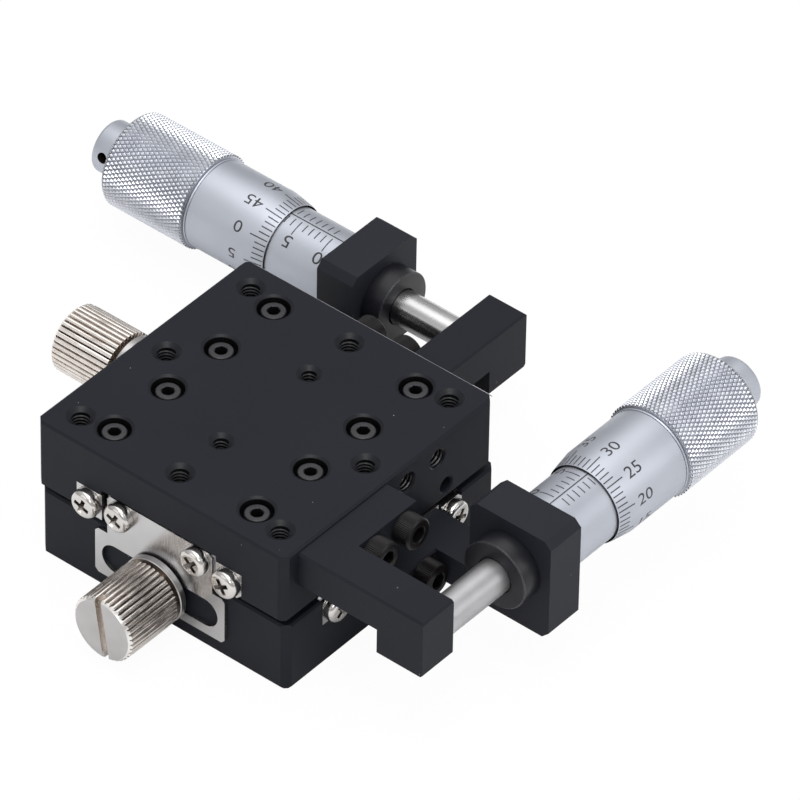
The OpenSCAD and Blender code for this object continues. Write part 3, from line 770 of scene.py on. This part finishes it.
def sleeveScale(axis):
    s = scale
    wide, gap, cuts = s["markWidth"], s["markGap"], s["markCuts"]
    end = s["zeroMark"] + s["travel"] + s["indexOver"]
    marks = [flatMark(end, wide * s["indexShare"], (end / 2, 0))]
    for n in range(s["travel"] + 1):
        long = n % s["longEvery"] == 0
        length = s["longMark"] if long else s["shortMark"]
        x = s["zeroMark"] + n
        marks.append(flatMark(wide, length, (x, gap + length / 2), cuts))
        if n < s["travel"]:
            below = -gap - s["shortMark"] / 2
            marks.append(flatMark(wide, s["shortMark"], (x + s["halfMark"], below), cuts))
        if long:
            marks.append(flatNumber(str(n), s["sleeveNumber"], (x, gap + s["longMark"]), s["numberGap"]))
    return laidRound(axis + "SleeveScale", marks, lambda x: s["sleeveRadius"], s["sleeveRadius"])


def placeCopy(master, name, matrix, look, node, stands=True):
    piece = copied(master, matrix)
    piece.name = name
    settle(piece, look, node, stands)


for axis, values in heads.items():
    atSleeve = headMatrix(axis)[0]
    atMouth = atSleeve @ Matrix.Translation((0, 0, mouthDistance(axis) * mm))
    atEnd = atMouth @ Matrix.Translation((0, 0, (head["smooth"] + head["knurlLength"]) * mm))
    for master in (thimbleMaster, capMaster):
        master.data.materials[0] = finishes[values["satin"]]
    placeCopy(thimbleMaster, axis + "Thimble", atMouth, None, axis + "_thimble")
    placeCopy(knurlMaster, axis + "Knurl", atMouth, None, axis + "_thimble", False)
    placeCopy(capMaster, axis + "EndCap", atEnd, None, axis + "_end_cap")
    for makeScale, matrix, node in ((thimbleScale, atMouth, "_thimble"), (sleeveScale, atSleeve, "_sleeve")):
        marks = makeScale(axis)
        marks.data.transform(matrix)
        settle(marks, "markInk", axis + node, False)
    lo, hi = inMm(axis + "_collar_nut")
    out = Vector(values["out"])
    atFace = pointing((lo + hi) / 2 - out * abs((hi - lo).dot(out)) / 2, -out)
    placeCopy(nutMaster, axis + "CollarNut", atFace, "blackCollar", axis + "_collar_nut")
    placeCopy(edgeHighlightMaster, axis + "CollarEdge", atFace, "wearAndHighlightEdge", axis + "_collar_nut", False)
for master in (thimbleMaster, knurlMaster, capMaster, nutMaster, edgeHighlightMaster):
    bpy.data.objects.remove(master)
print("micrometer heads placed")


# Lock knobs

knob = {
    "flangeRadius": 4.65, "flange": 0.95, "flangeEdge": 0.1, "neck": 3.7, "collar": 1.5,
    "radius": 4.65, "length": 8.9, "ridges": 38, "lines": 6, "valley": 0.872, "shoulder": 0.982,
    "wear": 0.012, "rows": 6, "under": 0.1, "taper": 0.12, "bevel": 0.4, "face": 0.22, "smooth": 38,
    "edgeSlope": (0.3, 0.95), "slotWidth": 1.0, "slotDepth": 1.2, "slotTurns": {"x": 8.7, "y": -45},
    "shank": 1.95, "shankLength": 5.3, "seatGap": 0.02,
}


def makeKnob():
    k = knob
    r, base, top = k["radius"], k["collar"], k["collar"] + k["length"]
    rim, edge, gap, flange = k["flangeRadius"], k["flangeEdge"], k["seatGap"], k["flange"]
    grip = [(base + k["taper"] + (k["length"] - k["taper"] - k["bevel"]) * i / k["rows"], r)
            for i in range(k["rows"] + 1)]
    piece = turned("knob", [(-k["shankLength"], pole), (-k["shankLength"], k["shank"]), (-gap, k["shank"]),
                            (-gap, rim - edge), (edge - gap, rim), (flange - edge, rim),
                            (flange, rim - edge), (flange + level, k["neck"]), (base, k["neck"]),
                            (base + 2 * level, r * k["valley"] - k["under"]), *grip,
                            (top - k["face"], r - k["face"]), (top, r - k["bevel"]), (top, pole)],
                   k["lines"] * k["ridges"])
    fluted(piece, k["ridges"], base + k["taper"] / 2, top - k["bevel"] + level, k["valley"], k["shoulder"],
           k["wear"], k["lines"])
    cut(piece, block((k["slotWidth"], 4 * r, 2 * k["slotDepth"]), (0, 0, top)))
    tidyMesh(piece, k["smooth"])
    surfaces(piece, "knobNickel", "knobFaceShade", "knobEdgeWearAndHighlight", "paintedShadeBrown")
    low, high = k["edgeSlope"]

    def onNeck(face):
        return flange + 2 * level < faceSpot(face)[1] < base + level

    def onFaces(face):
        return not flange + level / 2 <= faceSpot(face)[1] <= top - level

    def onBevel(face):
        return top - k["bevel"] < faceSpot(face)[1] < top - level and low < face.normal.z < high

    # the neck under the grip takes painted shade, the flat faces a darker copy of the nickel (painted shade),
    # the top bevel a lighter one (partly wear, partly painted highlight)
    for slot, test in ((3, onNeck), (1, onFaces), (2, onBevel)):
        assign(piece, slot, test)
    return piece


knobMaster = makeKnob()
for axis, along, across in (("x", (0, -1, 0), (1, 0, 0)), ("y", (-1, 0, 0), (0, 1, 0))):
    lo, hi = inMm(axis + "_lock_knob")
    out = Vector(along)
    seat = (lo + hi) / 2 + out * (abs((hi - lo).dot(out)) / 2 - knob["collar"] - knob["length"])
    turn = math.radians(knob["slotTurns"][axis])
    slotUp = Vector(across) * math.cos(turn) + Vector((0, 0, math.sin(turn)))
    placeCopy(knobMaster, axis + "LockKnob", pointing(seat, along, slotUp), None, axis + "_lock_knob")
bpy.data.objects.remove(knobMaster)
print("lock knobs placed")


# Screws

screws = {
    "rail": {
        "look": "socketSteel", "spread": 1.8, "radius": 1.6, "height": 2.1, "seat": 1.85, "round": 0.2,
        "hex": 1.5, "deep": 1.3, "mouth": 0.05, "ridges": 36, "valley": 0.98, "shank": 0.95,
        "length": 6.1},
    "bracket": {
        "look": "blackSteel", "spread": 2.25, "radius": 2.2, "height": 2.5, "seat": 2.5, "round": 0.4,
        "hex": 2.0, "deep": 1.4, "mouth": 0.05, "ridges": 56, "valley": 0.968, "shank": 1.2,
        "length": 8.1},
    "pan": {
        "look": "nickel", "spread": 2.0, "radius": 2.0, "height": 1.5, "seat": 1.5, "round": 0.75,
        "arm": 2.4, "armWidth": 0.62, "deep": 1.15, "narrow": 0.55, "middle": 0.98, "over": 0.1,
        "shank": 0.95, "length": 3.2},
}
screwShape = {
    "tip": 0.2, "edge": 0.06, "band": 0.2, "ridgesFrom": 0.15, "over": 1, "mouthSides": 48,
    "panSteps": 64, "smooth": 25, "pitUnder": 0.15, "pitRim": 0.03, "pitShort": 0.05,
}


def screwProfile(s):
    l, h, r, shank = s["length"], s["height"], s["radius"], s["shank"]
    tip, edge = screwShape["tip"], screwShape["edge"]
    return [(-l, pole), (-l, shank - tip), (tip - l, shank), (0, shank), (0, r - edge), (edge, r),
            (screwShape["band"], r), *rounded(h, r, s["round"]), (h, pole)]


def recessed(piece, s, reach, pit):
    # the head's finish, and a darker one down in the recess: painted shade
    surfaces(piece, s["look"], pit)
    low = s["height"] - s["deep"] - screwShape["pitUnder"]
    high = s["height"] - screwShape["pitRim"]
    assign(piece, 1, lambda face: faceSpot(face)[0] < reach and low < faceSpot(face)[1] < high)
    return piece


def makeCapScrew(s):
    piece = turned("capScrew", screwProfile(s), 4 * s["ridges"])
    h, mouth = s["height"], s["mouth"]
    fluted(piece, s["ridges"], screwShape["ridgesFrom"], h - s["round"] + level, s["valley"],
           (1 + s["valley"]) / 2)
    corner = s["hex"] / 2 / math.cos(math.pi / 6)
    cut(piece, prism(6, corner, h - s["deep"], h + screwShape["over"]))
    cut(piece, prism(screwShape["mouthSides"], corner - mouth, h - 2 * mouth, h + mouth, corner + 2 * mouth))
    tidyMesh(piece, screwShape["smooth"])
    return recessed(piece, s, corner - mouth, "paintedShadeBlack")


def makePanScrew(s):
    piece = turned("panScrew", screwProfile(s), screwShape["panSteps"])
    high = s["deep"] + s["over"]
    spot = (0, 0, s["height"] + s["over"] - high / 2)
    cut(piece, block((s["middle"], s["middle"], high), spot, math.pi / 4, s["narrow"]))
    for turn in (0, math.pi / 2):
        cut(piece, block((s["arm"], s["armWidth"], high), spot, turn, s["narrow"]))
    tidyMesh(piece, screwShape["smooth"])
    return recessed(piece, s, s["arm"] / 2 - screwShape["pitShort"], "paintedShadeSteel")


pair, single, four = (0, 1), (0.5,), (0, 1 / 3, 2 / 3, 1)
screwSets = [
    # node, kind, ways the heads face, shares of the box on the other axes, degrees of turn
    ("table_rail_screws", "rail", [(0, 0, 1)], pair, four, (12, 47, 31, 5, 22, 40, 8, 55)),
    ("base_rail_screws", "rail", [(0, 0, -1)], four, pair, (3, 28, 44, 17, 51, 9, 36, 20)),
    ("x_arm_screws", "bracket", [(0, 1, 0)], pair, single, (14, 41)),
    ("y_arm_screws", "bracket", [(1, 0, 0)], pair, single, (20, 33)),
    ("x_holder_screws", "bracket", [(0, 1, 0)], pair, single, (7, 49)),
    ("y_holder_screws", "bracket", [(1, 0, 0)], pair, single, (26, 52)),
    ("base_stopper_screws", "pan", [(1, 0, 0), (-1, 0, 0)], pair, single, (38, 64, 12, 80)),
    ("table_stopper_screws", "pan", [(0, 1, 0), (0, -1, 0)], pair, single, (22, 57, 71, 30)),
    ("x_plate_screws", "pan", [(0, -1, 0)], pair, single, (64, 43)),
    ("y_plate_screws", "pan", [(-1, 0, 0)], pair, single, (18, 76)),
]


def seats(node, along, s, *shares):
    # places under a node's screw heads, spread over its box
    lo, hi = inMm(node)
    axis = [abs(value) for value in along].index(1)
    others = [i for i in range(3) if i != axis]
    for first in shares[0]:
        for second in shares[1]:
            place = Vector((0, 0, 0))
            place[axis] = hi[axis] - s["seat"] if along[axis] > 0 else lo[axis] + s["seat"]
            for i, share in zip(others, (first, second)):
                place[i] = lo[i] + s["spread"] + share * (hi[i] - lo[i] - 2 * s["spread"])
            yield place


screwMasters = {"rail": makeCapScrew(screws["rail"]), "bracket": makeCapScrew(screws["bracket"]),
                "pan": makePanScrew(screws["pan"])}
for node, kind, ways, first, second, turns in screwSets:
    spots = [(place, way) for way in ways for place in seats(node, way, screws[kind], first, second)]
    matrices = [pointing(place, way) @ Matrix.Rotation(math.radians(turn), 4, "Z")
                for (place, way), turn in zip(spots, turns)]
    words = node.split("_")
    name = words[0] + "".join(word.title() for word in words[1:])
    settle(spread(name, screwMasters[kind], matrices), None, node)
for master in screwMasters.values():
    bpy.data.objects.remove(master)
print("screws placed")


# Threads in the tapped holes, and linings in these and the sunk ones: painted shade down the walls, a darker
# skin on the mouths

thread = {
    "pitch": 0.5, "depth": 0.09, "rootHalf": 0.14, "rootGap": 0.01, "turns": 5, "steps": 24,
    "below": 0.2, "up": (0.3, 0.5, 0.8), "slope": 0.7, "skin": 0.006, "skinSteps": 48,
    "grid": 16, "gridRadius": 1.25, "gridMouth": 1.9,
    "small": 8.3, "smallRadius": 1.025, "smallMouth": 1.65,
    "side": (3.2, 9), "sideDrop": 3, "sideRadius": 1.29, "sideMouth": 1.55,
    "sinkRadius": 2.175, "sinkMouth": 2.525, "sinkDepth": 1.3,
}


def makeLining(radius, mouth, depth):
    # thin skin on a hole's turned mouth, darker than the block (painted shade, with a sheen from its
    # specular), and a black lining down its wall (painted shade), from z = 0
    t = thread
    e, cone = t["skin"], (radius - mouth) * t["slope"]
    piece = turned("lining", [(-e, mouth - 3 * e), (cone, radius - 3 * e), (-depth, radius - 3 * e),
                              (-depth, radius - e), (cone - e, radius - e), (-2 * e, mouth - e),
                              (-e, mouth - 3 * e)], t["skinSteps"])
    surfaces(piece, "paintedShadeBlack", "mouthShadeSheen")
    assign(piece, 1, lambda face: faceSpot(face)[1] > cone + 2 * level)
    return piece


def makeThread(radius, mouth):
    # one helical ridge below a hole's mouth at z = 0: a triangle wound round local Z
    t = thread
    deselect()
    bpy.ops.mesh.primitive_circle_add(vertices=3, radius=1)
    piece = bpy.context.object
    start = (mouth - radius) * t["slope"] + t["below"]
    foot = -start - t["turns"] * t["pitch"]
    root = radius - t["rootGap"]
    corners = [(root, foot - t["rootHalf"]), (root, foot + t["rootHalf"]), (radius - t["depth"], foot)]
    for vertex, (r, z) in zip(piece.data.vertices, corners):
        vertex.co = (r * mm, 0, z * mm)
    modify(piece, "SCREW", screw_offset=t["pitch"] * mm, iterations=t["turns"], steps=t["steps"],
           render_steps=t["steps"], use_smooth_shade=False)
    openMesh(piece)
    bpy.ops.mesh.fill_holes(sides=3)
    closeMesh()
    tidyMesh(piece)
    # the ridge is a lighter black than the block: painted highlight on the thread
    surfaces(piece, "threadHighlightBlack")
    return join("thread", [piece, makeLining(radius, mouth, t["pitch"] - foot)])


def placeThreads(nodeName, face, side):
    # the table's holes are the base's turned over: its small pair lies on the other axis
    t = thread
    lo, hi = inMm(nodeName)
    x, y = ((lo + hi) / 2).xy
    up = face > 0
    z = hi.z if up else lo.z
    g = t["grid"]
    gridHoles = [(x + g * i, y + g * j, z) for i in (-1, 0, 1) for j in (-1, 0, 1) if i or j]
    small = [(x, y + t["small"] * k, z) if up else (x + t["small"] * k, y, z) for k in (-1, 1)]
    drop = t["sideDrop"]
    sides = [(hi.x, y + k, z - drop) if up else (x + k, hi.y, z + drop) for k in t["side"]]
    label = nodeName.split("_")[0]
    sinkNode = label + "_rail_screws"
    shares = next(entry[3:5] for entry in screwSets if entry[0] == sinkNode)
    sinks = [(*place.xy, z) for place in seats(sinkNode, (0, 0, face), screws["rail"], *shares)]
    groups = [("Grid", makeThread(t["gridRadius"], t["gridMouth"]), gridHoles, (0, 0, face)),
              ("Small", makeThread(t["smallRadius"], t["smallMouth"]), small, (0, 0, face)),
              ("Side", makeThread(t["sideRadius"], t["sideMouth"]), sides, side),
              ("Sink", makeLining(t["sinkRadius"], t["sinkMouth"], t["sinkDepth"]), sinks, (0, 0, face))]
    for kind, master, places, along in groups:
        matrices = [pointing(place, along, t["up"]) for place in places]
        piece = spread(label + kind + "Threads", master, matrices)
        bpy.data.objects.remove(master)
        settle(piece, None, nodeName, False)


placeThreads("table_block", 1, (1, 0, 0))
placeThreads("base_block", -1, (0, 1, 0))
print("threads cut")


# Lighter arris along the table's far edge: partly wear, partly painted highlight

arrisShape = {"inset": 0.3, "wide": 0.07, "deep": 0.08, "below": 0.006}
lo, hi = inMm("table_block")
a = arrisShape
arris = block((hi.x - lo.x - 2 * a["inset"], a["wide"], a["deep"]),
              ((lo.x + hi.x) / 2, hi.y - a["inset"] + a["wide"] / 2, hi.z - a["below"] - a["deep"] / 2))
arris.name = "tableArrisHighlight"
tidyMesh(arris)
settle(arris, "wearAndHighlightEdge", "table_block", False)
print("worn and highlighted edge laid")


# Floor, world and lamps

light = {
    "floorSize": 4.0, "floorDrop": 0.05, "floorWhite": 0.82, "floorMottle": 40.0, "mottleLift": 0.02,
    "floorRough": 0.9, "floorSpecular": 0.1, "showWhite": 0.96,
    "zenith": 0.85, "zenithFrom": 0.9, "horizon": 0.42,
    "lamps": [  # place in metres, size, watts
        ("lampTop", (-0.2, 0.2, 1.1), 1.1, 5.0),
        ("lampKey", (0.28, -0.34, 1.15), 0.55, 5.0),
        ("lampRight", (1.0, 0.35, 0.55), 0.7, 3.4),
        ("lampFront", (-0.35, -1.0, 0.5), 0.7, 1.2),
        ("lampEye", (0.62, -0.78, 0.66), 0.3, 1.2),
    ],
}


def makeFloor():
    deselect()
    bpy.ops.mesh.primitive_plane_add(size=light["floorSize"], location=(0, 0, 0))
    floor = bpy.context.object
    floor.name = "floor"
    floor.data.transform(Matrix.Translation((0, 0, -light["floorDrop"] * mm)))
    material = bpy.data.materials.new("floorPaper")
    material.use_nodes = True
    graph = Graph(material.node_tree)
    mottle = noise(graph, light["floorMottle"], texture["grainDetail"])
    white, lift = light["floorWhite"], light["mottleLift"]
    tint = graph.blend(mottle, colour(*[white] * 3), colour(*[white + lift] * 3))
    paper = graph.add("ShaderNodeBsdfPrincipled", None, {
        "Base Color": tint, "Roughness": light["floorRough"], "Specular IOR Level": light["floorSpecular"]})
    glow = graph.add("ShaderNodeEmission", None, {"Color": colour(1, 1, 1), "Strength": 1.0})
    seen = graph.add("ShaderNodeLightPath", out="Is Camera Ray")
    mix = graph.add("ShaderNodeMixShader", None, {0: seen * light["showWhite"], 1: paper, 2: glow})
    graph.add("ShaderNodeOutputMaterial", None, {"Surface": mix})
    floor.data.materials.append(material)


def makeWorld():
    world = bpy.data.worlds.new("studio")
    scene.world = world
    world.use_nodes = True
    graph = Graph(world.node_tree)
    way = graph.add("ShaderNodeTexCoord", out="Generated")
    height = graph.add("ShaderNodeSeparateXYZ", None, {0: way}, out="Z")
    stops = [(0.0, light["horizon"]), (light["zenithFrom"], light["zenith"])]
    sky = graph.add("ShaderNodeValToRGB", {"stops": stops}, {0: height})
    dome = graph.add("ShaderNodeBackground", None, {"Color": sky, "Strength": 1.0})
    white = graph.add("ShaderNodeBackground", None, {"Color": colour(1, 1, 1), "Strength": 1.0})
    seen = graph.add("ShaderNodeLightPath", out="Is Camera Ray")
    mix = graph.add("ShaderNodeMixShader", None, {0: seen, 1: dome, 2: white})
    graph.add("ShaderNodeOutputWorld", None, {"Surface": mix})


def makeLamps():
    for name, place, size, watts in light["lamps"]:
        lamp = bpy.data.lights.new(name, "AREA")
        lamp.shape, lamp.size, lamp.energy = "SQUARE", size, watts
        holder = bpy.data.objects.new(name, lamp)
        holder.location = place
        holder.rotation_euler = (Vector(place) * -1).to_track_quat("-Z", "Y").to_euler()
        scene.collection.objects.link(holder)


makeFloor()
makeWorld()
makeLamps()
print("floor, world and lamps set")
